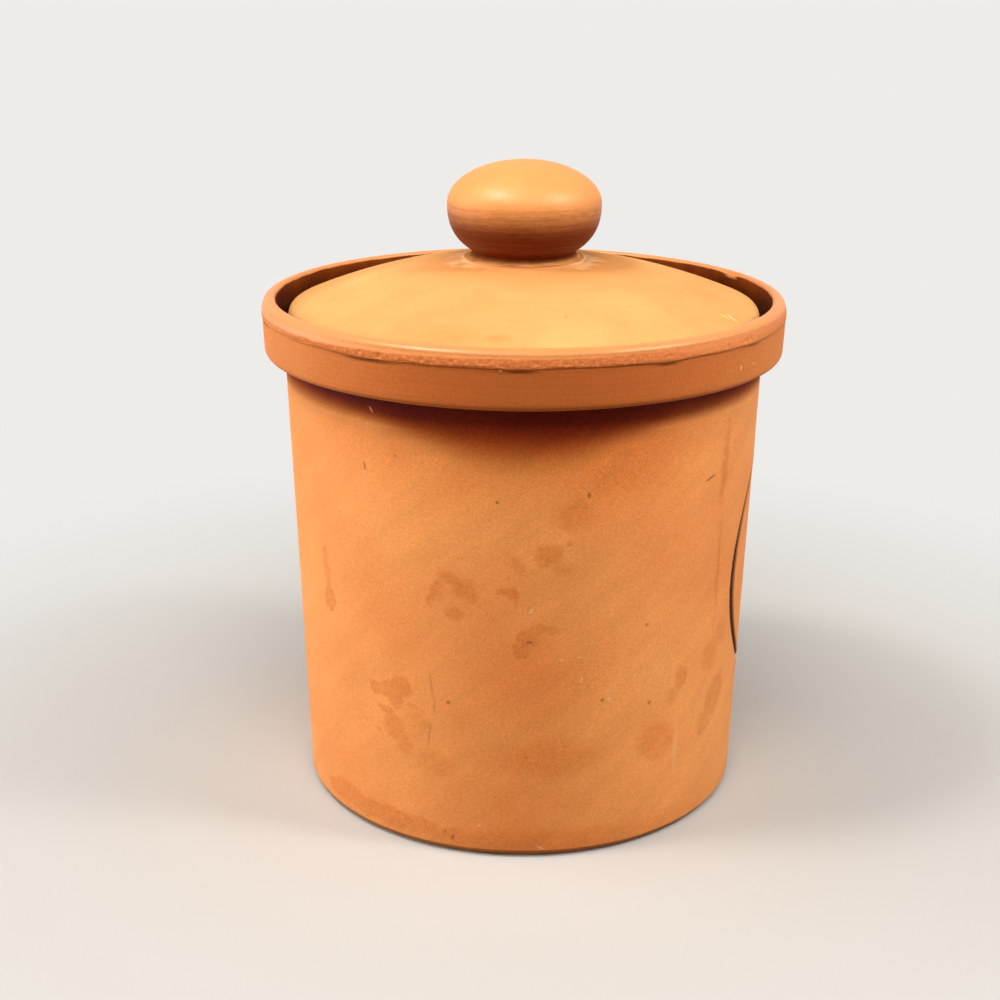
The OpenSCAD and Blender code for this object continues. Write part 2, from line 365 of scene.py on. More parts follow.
def zoneShares(point):
    # how far this point belongs to each zone of the pot's surface
    r = hypot(point.x, point.y) / mm
    z = point.z / mm
    side = seenAngle(point)
    front = max(0.0, cos(side))
    outside = smooth(pot["mouthR"] + 1.0, pot["mouthR"] + 1.5, r)
    overLip = smooth(pot["lipZ"] - 0.9, pot["lipZ"] - 0.5, z)
    overLip *= smooth(pot["galleryR"] - 0.4, pot["galleryR"] + 0.3, r)
    rough = 0.0
    if overLip > 0:
        top = bevelTop(point, side)
        rough = overLip * (1 - smooth(top - 0.25, top + 0.25, z))
    crumbly = 0.25 + 0.75 * smooth(-1.2, -0.85, side) * (1 - smooth(0.3, 0.75, side))
    fettled = rough * (0.45 + 0.55 * crumbly)
    # painted shade under the band, reaching furthest down in front, and painted shade round the foot
    facing = front ** 10
    shadeLow = pot["rimZ"] - pot["shadeReach"] - pot["shadeReachFront"] * facing
    under = smooth(shadeLow, pot["rimZ"] - pot["shadeSolid"] - 0.5 * facing, z)
    under *= 1 - smooth(pot["shoulderR"] + 3.5, pot["shoulderR"] + 5.5, r)
    under *= 1 + 0.36 * smooth(0.15, 0.95, -side) + 0.24 * smooth(0.6, 0.95, side)  # thicker at the sides
    foot = 1 - smooth(1.3, pot["footBevel"] + 0.4, z)
    glazeTop = pot["height"] - pot["glazeStop"] + 0.3 * grain((point.x, point.y, 0.0), 6.0, 2.2)
    glazed = smooth(pot["floorZ"] - 1.2, pot["floorZ"] - 0.6, z)
    glazed *= 1 - smooth(glazeTop - 0.15, glazeTop + 0.15, z)
    glazed *= 1 - smooth(pot["galleryR"] + 0.5, pot["galleryR"] + 1.0, r)
    glazed *= 1 - outside * (1 - smooth(pot["ledgeZ"] - 2.5, pot["ledgeZ"] - 1.5, z))
    # one chip in the inner edge of the rim, on the far right, shows the bare clay
    away = abs(side - pot["chipTurn"]) * pot["galleryR"] / pot["chipHalfL"]
    chipFoot = pot["height"] - pot["chipDepth"] * max(0.0, 1 - away ** 2) + 0.2 * grain(point, 2.0, 6.6)
    chipped = smooth(chipFoot, chipFoot + 0.3, z) if away < 1 else 0.0
    chipped *= 1 - smooth(pot["galleryR"] + 0.7, pot["galleryR"] + 1.2, r)
    chipped *= smooth(pot["mouthR"] + 2, pot["mouthR"] + 3, r)
    # painted shade on the side facing the camera, deeper towards the band
    frontShade = max(0.0, cos(side - pot["frontShadeTurn"])) ** 3
    # the band's own clay is darker and redder; laid on more strongly in front, it is also painted shade
    band = smooth(pot["rimZ"] - 0.5, pot["rimZ"] + 0.8, z) * (1 - overLip)
    return {
        "frontShade": frontShade * outside * (0.65 + 0.9 * smooth(pot["frontShadeFrom"], pot["frontShadeTo"], z)),
        "paintedShade": max(under, foot) * outside * (1 - overLip),
        "darkened": (0.4 + 0.6 * front ** 2) * band * outside,
        "crest": (overLip - fettled) * (1 - chipped),
        "fettled": fettled,
        "torn": rough * crumbly,
        "glazed": glazed * (1 - chipped),
        "chipped": chipped,
    }


def refineStrip(bm):
    # more columns along the fettled strip, so that its crumbs are as narrow as they are tall
    edges = []
    for edge in bm.edges:
        a, b = edge.verts
        middle = (a.co + b.co) / 2
        if abs(a.co.z - b.co.z) < 0.01 * mm and -1.0 < middle.z / mm - pot["lipZ"] < pot["bevelH"] + 0.3:
            if hypot(middle.x, middle.y) > (pot["galleryR"] + 2.2) * mm:
                edges.append(edge)
    bmesh.ops.subdivide_edges(bm, edges=edges, cuts=2, use_grid_fill=True)
    bm.normal_update()


potZones = ("frontShade", "paintedShade", "darkened", "crest", "fettled", "torn", "oxide", "glazed", "chipped")


def makePot():
    bm = turnOutline(potOutline(), potRowGap, pot["steps"])
    refineLabel(bm)
    refineStrip(bm)
    zones = {name: bm.verts.layers.float.new(name) for name in potZones}
    nicks = rimNicks()
    bandR = pot["lipR"] - pot["lipStep"]
    for v in bm.verts:
        r = hypot(v.co.x, v.co.y) / mm
        z = v.co.z / mm
        shares = zoneShares(v.co)
        for name, share in shares.items():
            v[zones[name]] = share
        take = pot["chipSink"] * shares["chipped"]
        torn = shares["torn"]
        if torn > 0:
            crumbs = 0.14 * abs(grain(v.co, 1.1)) + 0.18 * abs(grain(v.co, 2.2, 5.0))
            take += torn * (0.04 + crumbs + 0.16 * max(0, grain(v.co, 5.0, 9.0)))
            turn = atan2(v.co.x, -v.co.y)
            for angle, up, width, depth in nicks:
                along = ((turn - angle + pi) % (2 * pi) - pi) * pot["lipR"]
                away = hypot(along, z - pot["lipZ"] - up)
                if away < width:
                    take += depth * (1 - smooth(0, width, away))
        elif shares["crest"] == 0 and r > pot["mouthR"] + 1.2:
            take += pot["dent"] * (1 + grain((v.co.x, v.co.y, v.co.z * 0.5), pot["dentW"]))
        if r > bandR and z > pot["lipZ"] - 1.5:
            # the lip overhangs in front and is flush at the sides, and its lower edge wanders
            side = seenAngle(v.co)
            overhang = 0.12 + 0.6 * smooth(-1.2, -0.5, side) * (1 - smooth(0.8, 1.4, side))
            v.co.xy *= (bandR + (r - bandR) * overhang) / r
            lower = 1 - smooth(pot["lipZ"] - 0.3, pot["lipZ"] + 0.8, z)
            v.co.z += 0.35 * mm * grain((v.co.x, v.co.y, 0.0), 11.0, 4.4) * lower
        if v.co.x > (label["fromX"] - 5) * mm and v.normal.x > 0.4 and z < pot["rimZ"] - 4:
            pressed, raised, stained = labelPress(v.co.y / mm, z - label["middleZ"])
            v[zones["oxide"]] = stained
            take += label["depth"] * pressed - label["burr"] * raised
        v.co -= v.normal * take * mm
    return bm


# Marks on the wall: mm round it from the photographed side, mm up, half width, half height, tilt in degrees,
# softness of the edge, strength
soaked = [
    # a run of grease
    (-72.2, 90.5, 1.3, 4.2, 0, 0.35, 0.4), (-71.2, 83.5, 2.0, 6.2, 4, 0.2, 0.4),
    (-70.6, 76.5, 3.1, 4.5, 0, 0.12, 0.5),
    # a broken ring
    (-26.6, 89.8, 1.6, 5.2, -23, 0.35, 0.5), (-20.6, 94.0, 4.6, 2.0, -17, 0.4, 0.56),
    (-17.8, 91.6, 3.2, 3.0, 0, 0.5, 0.46), (-15.0, 89.6, 2.8, 2.0, -25, 0.5, 0.44),
    (-20.7, 83.3, 2.9, 2.0, 0, 0.45, 0.52), (-24.6, 90.2, 2.4, 3.2, 0, 0.6, 0.26),
    # splashes beside it
    (-2.6, 90.8, 1.9, 2.1, 35, 0.35, 0.58), (-5.3, 91.6, 1.8, 1.1, 0, 0.45, 0.44),
    (-1.4, 88.4, 0.7, 1.8, 0, 0.5, 0.36), (7.7, 103.3, 3.6, 3.1, -20, 0.35, 0.6),
    (10.0, 103.5, 2.5, 2.9, 0, 0.4, 0.48), (6.8, 101.2, 2.1, 1.8, 0, 0.4, 0.46),
    (12.2, 98.9, 3.2, 1.8, -10, 0.6, 0.36), (-1.5, 100.8, 2.0, 1.8, 0, 0.6, 0.34),
    (-0.4, 98.8, 1.5, 1.7, 0, 0.6, 0.3), (13.7, 106.8, 1.3, 1.1, 0, 0.6, 0.36),
    (0.2, 72.6, 3.0, 3.7, -25, 0.2, 0.5), (2.2, 75.6, 3.7, 3.4, 0, 0.25, 0.42),
    (4.4, 78.5, 3.8, 2.1, 30, 0.3, 0.42), (8.6, 79.1, 3.2, 1.9, 10, 0.5, 0.36),
    (5.9, 73.2, 4.8, 3.6, 0, 0.7, 0.2),
    # two damp patches, low on the left
    (-49.2, 52.4, 3.0, 2.5, 0, 0.18, 0.56), (-44.2, 53.2, 4.2, 2.7, 8, 0.2, 0.5),
    (-39.5, 55.0, 4.1, 4.1, 0, 0.18, 0.48), (-41.0, 50.2, 2.6, 3.0, -25, 0.22, 0.48),
    (-44.6, 45.4, 4.3, 1.3, -22, 0.3, 0.52), (-42.4, 40.6, 4.3, 4.5, 15, 0.3, 0.46),
    (-38.5, 35.6, 2.9, 4.1, 25, 0.4, 0.42), (-34.3, 43.4, 4.7, 5.3, 0, 0.6, 0.28),
    (-30.5, 44.0, 1.6, 1.6, 0, 0.4, 0.44), (-48.7, 37.7, 1.1, 0.9, 0, 0.4, 0.44),
    (-35.2, 49.1, 1.6, 1.0, 0, 0.4, 0.44), (-29.0, 31.0, 7.0, 4.0, 0, 0.7, 0.26),
    # finger marks on the right
    (56.5, 55.0, 2.9, 4.2, -12, 0.35, 0.5), (52.5, 50.0, 2.1, 2.7, 0, 0.6, 0.36),
    (71.8, 57.7, 4.8, 5.0, 0, 0.45, 0.46), (78.0, 63.5, 4.0, 4.2, -25, 0.6, 0.4),
    (76.6, 41.6, 5.2, 8.2, -38, 0.26, 0.52), (71.0, 34.5, 4.0, 4.6, -30, 0.5, 0.36),
    (46.9, 35.3, 7.5, 6.4, -20, 0.3, 0.38), (72.8, 86.6, 0.8, 16.5, 0, 0.7, 0.5),
    (72.0, 122.0, 1.7, 12.0, -3, 0.7, 0.6),
    # damp round the foot, and faint clouds
    (-69.0, 8.8, 10.5, 4.0, 6, 0.26, 0.5), (-56.0, 7.4, 10.0, 3.2, 0, 0.3, 0.5),
    (-44.5, 7.6, 9.6, 3.6, 0, 0.26, 0.5), (-34.0, 7.0, 8.6, 3.0, 0, 0.4, 0.46),
    (-20.0, 6.2, 12.0, 2.6, 0, 0.5, 0.4), (12.0, 6.0, 44, 3.6, 0, 0.64, 0.36),
    (8.0, 35.0, 16, 6, 0, 0.56, 0.34), (4.0, 61.0, 18, 11, 0, 0.6, 0.18),
    (27.5, 126.5, 9.5, 6, 0, 0.5, 0.42), (15.6, 115.7, 6, 5, 0, 0.5, 0.42),
    (26.0, 131.0, 17, 10, 0, 0.8, 0.34),
]
ticks = [
    (-50.0, 125.9, 0.36, 1.3, 8, 0.4, 0.64), (-7.1, 119.8, 0.48, 0.48, 0, 0.4, 0.68),
    (19.6, 121.5, 0.56, 0.88, 0, 0.5, 0.52), (64.3, 119.7, 2.6, 0.34, 14, 0.4, 0.7),
    (-22.7, 53.1, 0.64, 0.48, 0, 0.5, 0.6), (26.0, 53.9, 0.64, 0.64, 0, 0.5, 0.52),
    (1.8, 36.0, 0.56, 0.56, 0, 0.5, 0.25), (2.7, 75.1, 1.1, 0.45, 0, 0.5, 0.5),
    (-28.3, 58.0, 0.32, 4, 6, 0.7, 0.26), (-27.4, 51.0, 0.32, 2.7, -4, 0.7, 0.26),
    (-29.5, 40.5, 0.32, 4, -10, 0.7, 0.24), (-38.5, 131.0, 0.48, 0.48, 0, 0.5, 0.38),
    (43.2, 49.7, 0.7, 0.7, 0, 0.5, 0.45), (40.6, 76.9, 0.7, 0.5, 0, 0.5, 0.4),
    (68.5, 31.0, 0.8, 0.7, 0, 0.5, 0.25), (-22.0, 5.6, 0.5, 1.0, -20, 0.5, 0.5),
    (-24.5, 7.4, 0.4, 0.7, -10, 0.5, 0.4),
]
scuffs = [
    (3.0, 85.3, 0.26, 0.83, -20, 0.5, 0.5), (18.9, 61.6, 0.3, 0.98, -15, 0.5, 0.55),
    (12.4, 69.0, 0.9, 0.22, -8, 0.5, 0.45), (18.3, 69.4, 0.68, 0.22, 10, 0.5, 0.45),
    (37.0, 60.5, 0.38, 0.38, 0, 0.5, 0.45), (28.3, 54.0, 0.68, 0.52, 0, 0.5, 0.42),
    (28.0, 57.0, 0.68, 0.26, -20, 0.5, 0.42), (7.0, 3.6, 1.4, 0.3, -30, 0.5, 0.5),
    (-13.0, 11.0, 0.52, 0.38, 0, 0.5, 0.48), (-46.5, 144.0, 0.22, 1, 35, 0.5, 0.6),
    (22.0, 74.0, 0.22, 0.75, 0, 0.5, 0.38), (55.5, 30.5, 0.9, 7.5, 0, 0.8, 0.22),
    (-5.6, 161.2, 0.3, 0.3, 0, 0.5, 0.6), (66.3, 155.2, 0.3, 0.8, 0, 0.5, 0.6),
    (72.8, 155.2, 0.4, 0.3, 0, 0.5, 0.5),
]

potLook = {
    "deep": "#e99252", "light": "#f3a561", "driftMm": 60.0, "gritMm": 0.6, "gritShade": 0.14,
    "speckGapMm": 6.0, "speck": 0.36, "bump": 0.4, "bumpMm": 0.12, "rough": 0.78, "gloss": 0.14,
    "wanderMm": 5.0, "shiftMm": 4.5, "wipeMm": 9.0, "wipeLean": 38.0, "patchMm": 1.8, "crumbMm": 0.8,
    "ringMm": 0.9, "poolMm": 14.0,
    "frontShadePower": 0.18, "soak": 0.4, "soakDim": 0.26, "shadePower": 1.7, "shadeDim": 0.52,
    "tick": "#743010", "scuff": "#f7c79a", "darkened": "#ba6026", "crest": "#d1874c",
    "fettled": "#bd652c", "crumb": "#dc9054", "pit": "#74360f", "oxide": "#370d05",
    "glazed": "#501e05", "pooled": "#6b3009", "glazeRough": 0.26, "crestRough": 0.36, "chip": "#d08a4c",
}


def softMarks(tree, marks, place):
    total = None
    for along, up, halfW, halfH, tilt, edge, strength in marks:
        local = addNode(tree, "Mapping", {"vector_type": "TEXTURE"}, {
            0: place, 1: (along * mm, up * mm, 0), 2: (0, 0, radians(tilt)),
            3: (halfW * mm, halfH * mm, 1)}).outputs[0]
        away = addNode(tree, "VectorMath", {"operation": "LENGTH"}, {0: local}).outputs["Value"]
        mark = addNode(tree, "MapRange", eased, {
            0: away, 1: 1.0 - edge, 2: 1.0 + edge, 3: strength, 4: 0.0}).outputs[0]
        total = mark if total is None else addNode(tree, "Math", {"operation": "MAXIMUM"}, {
            0: total, 1: mark}).outputs[0]
    return total


# Sponged terracotta: matt and dry, darker where grease has soaked in, rough where it was fettled, and inside
# a clear honey glaze, which is glossy and darker where it pooled; with painted shade under the band, round
# the foot, on the side facing the camera and down the gallery
def potClay():
    clay = firedClay("terracottaSponged", potLook)
    tree = clay["tree"]
    seen = addNode(tree, "Mapping", {}, {
        0: clay["where"], 2: (0, 0, -radians(view["turn"]))}).outputs[0]  # the photographed side at -Y
    axes = addNode(tree, "SeparateXYZ", {}, {0: seen}).outputs
    front = addNode(tree, "Math", product, {0: axes[1], 1: -1.0}).outputs[0]
    turn = addNode(tree, "Math", {"operation": "ARCTAN2"}, {0: axes[0], 1: front}).outputs[0]
    along = addNode(tree, "Math", product, {0: turn, 1: pot["markR"] * mm}).outputs[0]
    wall = addNode(tree, "CombineXYZ", {}, {0: along, 1: axes[2]}).outputs[0]
    wander = addNode(tree, "TexNoise", {}, {
        "Vector": wall, "Scale": perMm(potLook["wanderMm"]),
        "Detail": 5.0, "Roughness": 0.65}).outputs["Color"]
    centred = addNode(tree, "VectorMath", {"operation": "SUBTRACT"}, {
        0: wander, 1: (0.5, 0.5, 0.5)}).outputs[0]
    shift = potLook["shiftMm"] * mm
    shifted = addNode(tree, "VectorMath", productPlus, {
        0: centred, 1: (shift, shift, 0), 2: wall}).outputs[0]
    # the sponge wiped at a slant, crumbs are drawn out along the rim, and turning lines run round the band
    slanted = addNode(tree, "Mapping", {"vector_type": "TEXTURE"}, {
        0: wall, 2: (0, 0, radians(potLook["wipeLean"])), 3: (5, 1, 1)}).outputs[0]
    drawn = addNode(tree, "Mapping", {"vector_type": "TEXTURE"}, {0: wall, 3: (1.4, 1, 1)}).outputs[0]
    squeezed = addNode(tree, "Mapping", {}, {0: clay["where"], 3: (0.03, 0.03, 1)}).outputs[0]
    pattern = {}
    for name, place, roughness in (
            ("wipe", slanted, 0.6), ("patch", clay["where"], 0.7), ("crumb", drawn, 0.75),
            ("ring", squeezed, 0.7), ("pool", clay["where"], 0.55)):
        pattern[name] = addNode(tree, "TexNoise", {}, {
            "Vector": place, "Scale": perMm(potLook[name + "Mm"]),
            "Detail": 3.0, "Roughness": roughness}).outputs["Fac"]
    streak = addNode(tree, "MapRange", {}, {0: pattern["wipe"], 1: 0.3, 2: 0.7, 3: 0.95, 4: 1.05}).outputs[0]
    clay["colour"] = addNode(tree, "VectorMath", scaled, {0: clay["colour"], 3: streak}).outputs[0]
    worn = addNode(tree, "MapRange", {}, {0: pattern["patch"], 1: 0.3, 2: 0.65, 3: 0.38, 4: 0.9}).outputs[0]
    damp = addNode(tree, "Math", product, {0: softMarks(tree, soaked, shifted), 1: worn}).outputs[0]
    zone = {}
    for name in potZones:
        zone[name] = addNode(tree, "Attribute", {"attribute_name": name}, {}).outputs["Fac"]
    # painted shade on the side facing the camera, grease stains, and painted shade under the band and round
    # the foot deepen the clay's own colour: a power above 1, then less light
    power = addNode(tree, "Math", productPlus, {
        0: zone["frontShade"], 1: potLook["frontShadePower"], 2: 1.0}).outputs[0]
    power = addNode(tree, "Math", productPlus, {0: damp, 1: potLook["soak"], 2: power}).outputs[0]
    thick = addNode(tree, "Math", product, {0: zone["paintedShade"], 1: zone["paintedShade"]}).outputs[0]
    power = addNode(tree, "Math", productPlus, {0: thick, 1: potLook["shadePower"], 2: power}).outputs[0]
    deepened = addNode(tree, "Gamma", {}, {0: clay["colour"], 1: power}).outputs[0]
    dimmed = addNode(tree, "Math", productPlus, {0: damp, 1: -potLook["soakDim"], 2: 1.0}).outputs[0]
    shaded = addNode(tree, "Math", productPlus, {
        0: zone["paintedShade"], 1: -potLook["shadeDim"], 2: 1.0}).outputs[0]
    shaded = addNode(tree, "Math", product, {0: shaded, 1: shaded}).outputs[0]
    dim = addNode(tree, "Math", product, {0: dimmed, 1: shaded}).outputs[0]
    clay["colour"] = addNode(tree, "VectorMath", scaled, {0: deepened, 3: dim}).outputs[0]
    turned = addNode(tree, "MapRange", {}, {0: pattern["ring"], 1: 0.3, 2: 0.7, 3: 0.93, 4: 1.07}).outputs[0]
    shade = addNode(tree, "Math", product, {0: clay["shade"], 1: turned}).outputs[0]
    lit = addNode(tree, "MapRange", {}, {0: pattern["crumb"], 1: 0.5, 2: 0.75}).outputs[0]
    sunk = addNode(tree, "MapRange", {}, {0: pattern["crumb"], 1: 0.42, 2: 0.26, 3: 0.0, 4: 0.8}).outputs[0]
    tints = {}
    for name in ("darkened", "crest", "fettled", "oxide"):
        tints[name] = addNode(tree, "VectorMath", scaled, {
            0: toLinear(potLook[name])[:3], 3: shade if name == "darkened" else clay["shade"]}).outputs[0]
    for name, share in (("crumb", lit), ("pit", sunk)):
        shown = addNode(tree, "Math", product, {0: share, 1: zone["torn"]}).outputs[0]
        tints["fettled"] = addNode(tree, "Mix", colours, {
            0: shown, 6: tints["fettled"], 7: toLinear(potLook[name])}).outputs[2]
    pooled = addNode(tree, "MapRange", {}, {0: pattern["pool"], 1: 0.35, 2: 0.65}).outputs[0]
    tints["glazed"] = addNode(tree, "Mix", colours, {
        0: pooled, 6: toLinear(potLook["glazed"]), 7: toLinear(potLook["pooled"])}).outputs[2]
    # painted shade in the gallery: the glaze is lighter near the rim and darker towards the ledge and below
    # it
    galleryShade = addNode(tree, "MapRange", {}, {
        0: axes[2], 1: (pot["ledgeZ"] + 2) * mm, 2: (pot["height"] - 1) * mm, 3: 0.55, 4: 1.45}).outputs[0]
    tints["glazed"] = addNode(tree, "VectorMath", scaled, {0: tints["glazed"], 3: galleryShade}).outputs[0]
    tints["chipped"] = toLinear(potLook["chip"])
    layers = [(zone[name], tints[name]) for name in ("darkened", "crest", "fettled")]
    layers += [(softMarks(tree, ticks, wall), toLinear(potLook["tick"])),
               (softMarks(tree, scuffs, wall), toLinear(potLook["scuff"]))]
    layers += [(zone[name], tints[name]) for name in ("oxide", "glazed", "chipped")]
    for share, tint in layers:
        clay["colour"] = addNode(tree, "Mix", colours, {0: share, 6: clay["colour"], 7: tint}).outputs[2]
    dry = addNode(tree, "MapRange", {}, {
        0: damp, 1: 0.0, 2: 0.5, 3: potLook["rough"], 4: potLook["rough"] - 0.14}).outputs[0]
    dry = addNode(tree, "Mix", {}, {0: zone["crest"], 2: dry, 3: potLook["crestRough"]}).outputs[0]
    clay["rough"] = addNode(tree, "Mix", {}, {
        0: zone["glazed"], 2: dry, 3: potLook["glazeRough"]}).outputs[0]
    torn = addNode(tree, "Math", product, {0: zone["torn"], 1: 1.5}).outputs[0]
    rough = addNode(tree, "Math", productPlus, {0: torn, 1: pattern["crumb"], 2: clay["grit"]}).outputs[0]
    bare = addNode(tree, "Math", {"operation": "SUBTRACT"}, {0: 1.0, 1: zone["glazed"]}).outputs[0]
    clay["height"] = addNode(tree, "Math", product, {0: rough, 1: bare}).outputs[0]
    return finishClay(clay, potLook)


addPiece("pot_body", makePot(), potClay(), "pot", "pot")

# Lid

lid = {
    "edgeH": 7.5, "rise": 15.8, "thick": 6.5, "edgeR": 2.5, "footR": 1.0,
    "flangeT": 6.0, "flangeGap": 2.0, "flangeEdge": 1.5, "hollowEdge": 2.0,
    "grooveFoot": 2.5, "grooveH": 8.0, "grooveDepth": 1.5, "seatR": 19.7, "steps": 320,
    "dent": 0.08, "dentW": 26.0,  # slow dips that the sponge left
}
lid["radius"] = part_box("lid")[1].x / mm
lid["seatZ"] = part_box("lid")[1].z / mm
lid["flangeZ"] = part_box("lid")[0].z / mm
lid["domeR"] = (lid["radius"] ** 2 + lid["rise"] ** 2) / (2 * lid["rise"])
lid["domeZ"] = pot["ledgeZ"] + lid["edgeH"] + lid["rise"] - lid["domeR"]
lid["flangeR"] = pot["mouthR"] - lid["flangeGap"]
lid["grooveZ"] = lid["flangeZ"] + lid["grooveFoot"]


def domeArc(radius, fromR, toR, count):
    points = []
    for i in range(count + 1):
        a = acos(fromR / radius) + (acos(toR / radius) - acos(fromR / radius)) * i / count
        points.append((radius * cos(a), lid["domeZ"] + radius * sin(a), 0))
    return points


def lidOutline():
    ledge = pot["ledgeZ"]
    inR = lid["flangeR"] - lid["flangeT"]
    grooveR = lid["flangeR"] - lid["grooveDepth"]
    grooveTop = lid["grooveZ"] + lid["grooveH"]
    dome = domeArc(lid["domeR"], lid["seatR"], lid["radius"], 24)
    hollow = domeArc(lid["domeR"] - lid["thick"], inR, 0, 16)
    corner = (lid["radius"], dome[-1][1], lid["edgeR"])
    return [(0, lid["seatZ"], 0), (lid["seatR"], lid["seatZ"], 0.2)] + dome[:-1] + [
        corner, (lid["radius"], ledge, lid["footR"]), (lid["flangeR"], ledge, 0.4),
        (lid["flangeR"], grooveTop, 0.2), (grooveR, grooveTop, 0.2), (grooveR, lid["grooveZ"], 0.2),
        (lid["flangeR"], lid["grooveZ"], 0.2), (lid["flangeR"], lid["flangeZ"], lid["flangeEdge"]),
        (inR, lid["flangeZ"], lid["flangeEdge"]), (inR, hollow[0][1], lid["hollowEdge"])] + hollow[1:]


# the lid's clay is tinted yellower and less red than the pot's: painted light, the look of its brightly lit
# top
lidLook = {
    "deep": "#c98d4c", "light": "#d6a160", "driftMm": 38.0, "gritMm": 0.7, "gritShade": 0.09,
    "speckGapMm": 11.0, "speck": 0.35, "bump": 0.35, "bumpMm": 0.12, "rough": 0.76, "gloss": 0.14,
    "knobShadeFrom": 19.0, "knobShadeTo": 46.0, "smearFrom": 32.0, "smearTo": 38.0,
    "besideFrom": 12.0, "besideTo": 20.0, "wispMm": 5.5, "wispReach": 24.0, "ringMm": 1.6,
    "knobShade": "#c87a3a", "smear": "#eebb85", "scratch": "#f3cf8e", "smudge": "#b8793a",
}
# Marks on the lid, in mm as the camera sees it from above: right, away, then as on the wall
lidSmudges = [(-7.0, -67.2, 3.6, 1.8, 0, 0.6, 0.4), (-19.4, -65.8, 1.8, 1.6, 0, 0.6, 0.34)]
lidScratches = [(64.4, -30.4, 0.4, 2.1, 42, 0.5, 0.8), (62.0, -31.5, 0.8, 1.6, 60, 0.7, 0.3)]


def makeLid():
    bm = turnOutline(lidOutline(), lambda r, z: 2.0 if z > pot["ledgeZ"] else 3.0, lid["steps"])
    for v in bm.verts:
        if v.co.z > (pot["ledgeZ"] + 2) * mm and v.normal.z > 0.2:
            v.co -= v.normal * lid["dent"] * (1 + grain(v.co, lid["dentW"])) * mm
    return bm


# Sponged terracotta, with painted shade round the knob and pale slip wiped out beside its foot
def lidClay():
    clay = firedClay("terracottaSpongedLid", lidLook)
    tree = clay["tree"]
    seen = addNode(tree, "Mapping", {}, {
        0: clay["where"], 2: (0, 0, -radians(view["turn"])), 3: (1, 1, 0)}).outputs[0]
    reach = addNode(tree, "VectorMath", {"operation": "LENGTH"}, {0: seen}).outputs["Value"]
    wisp = addNode(tree, "TexNoise", {}, {
        "Vector": clay["where"], "Scale": perMm(lidLook["wispMm"]),
        "Detail": 4.0, "Roughness": 0.6}).outputs["Fac"]
    ragged = addNode(tree, "Math", productPlus, {
        0: wisp, 1: lidLook["wispReach"] * mm, 2: reach}).outputs[0]
    # painted shade on the lid round the knob
    knobShade = addNode(tree, "MapRange", eased, {
        0: reach, 1: lidLook["knobShadeFrom"] * mm, 2: lidLook["knobShadeTo"] * mm, 3: 0.8, 4: 0.0}).outputs[0]
    near = addNode(tree, "MapRange", eased, {
        0: ragged, 1: lidLook["smearFrom"] * mm, 2: lidLook["smearTo"] * mm, 3: 0.62, 4: 0.0}).outputs[0]
    side = addNode(tree, "Math", {"operation": "ABSOLUTE"}, {
        0: addNode(tree, "SeparateXYZ", {}, {0: seen}).outputs[0]}).outputs[0]
    beside = addNode(tree, "MapRange", eased, {
        0: side, 1: lidLook["besideFrom"] * mm, 2: lidLook["besideTo"] * mm, 3: 0.15, 4: 1.0}).outputs[0]
    smear = addNode(tree, "Math", product, {0: near, 1: beside}).outputs[0]
    outwards = addNode(tree, "CombineXYZ", {}, {0: reach}).outputs[0]
    rings = addNode(tree, "TexNoise", {}, {
        "Vector": outwards, "Scale": perMm(lidLook["ringMm"]), "Roughness": 0.6}).outputs["Fac"]
    turned = addNode(tree, "MapRange", {}, {0: rings, 1: 0.3, 2: 0.7, 3: 0.97, 4: 1.03}).outputs[0]
    clay["colour"] = addNode(tree, "VectorMath", scaled, {0: clay["colour"], 3: turned}).outputs[0]
    marks = {"knobShade": knobShade, "smear": smear, "smudge": softMarks(tree, lidSmudges, seen),
             "scratch": softMarks(tree, lidScratches, seen)}
    for name, share in marks.items():
        clay["colour"] = addNode(tree, "Mix", colours, {
            0: share, 6: clay["colour"], 7: toLinear(lidLook[name])}).outputs[2]
    return finishClay(clay, lidLook)


addPiece("lid_dome", makeLid(), lidClay(), "lid", "lid")

# Knob

knob = {"crownH": 13.7, "underH": 18.3, "fullness": 2.4, "neckR": 16.8, "steps": 256, "rows": 150}
knob["radius"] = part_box("knob")[1].x / mm
knob["topZ"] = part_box("knob")[1].z / mm
knob["seatZ"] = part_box("knob")[0].z / mm
knob["middleZ"] = knob["topZ"] - knob["crownH"]


def knobOutline():
    neckA = acos((knob["neckR"] / knob["radius"]) ** (knob["fullness"] / 2))
    points = [(0, knob["seatZ"], 0), (knob["neckR"], knob["seatZ"], 0)]
    for i in range(knob["rows"] + 1):
        a = -neckA + (pi / 2 + neckA) * i / knob["rows"]
        power = 2 / knob["fullness"] if a < 0 else 1.0
        half = knob["underH"] if a < 0 else knob["crownH"]
        lift = abs(sin(a)) ** power * (1 if a > 0 else -1)
        points.append((knob["radius"] * max(0.0, cos(a)) ** power, knob["middleZ"] + half * lift, 0))
    points[-1] = (0, knob["topZ"], 0)
    return points


knobLook = {
    "deep": "#d98b4a", "light": "#e19855", "driftMm": 30.0, "gritMm": 0.7, "gritShade": 0.07,
    "speckGapMm": 10.0, "speck": 0.35, "bump": 0.3, "bumpMm": 0.1, "rough": 0.45, "gloss": 0.14,
    "ringMm": 0.55, "chatterMm": 0.45, "lineCount": 70,
    "lowerTop": 4.0, "linesFull": 3.0, "shadeFull": 8.5, "undersideShade": "#641e03",
}


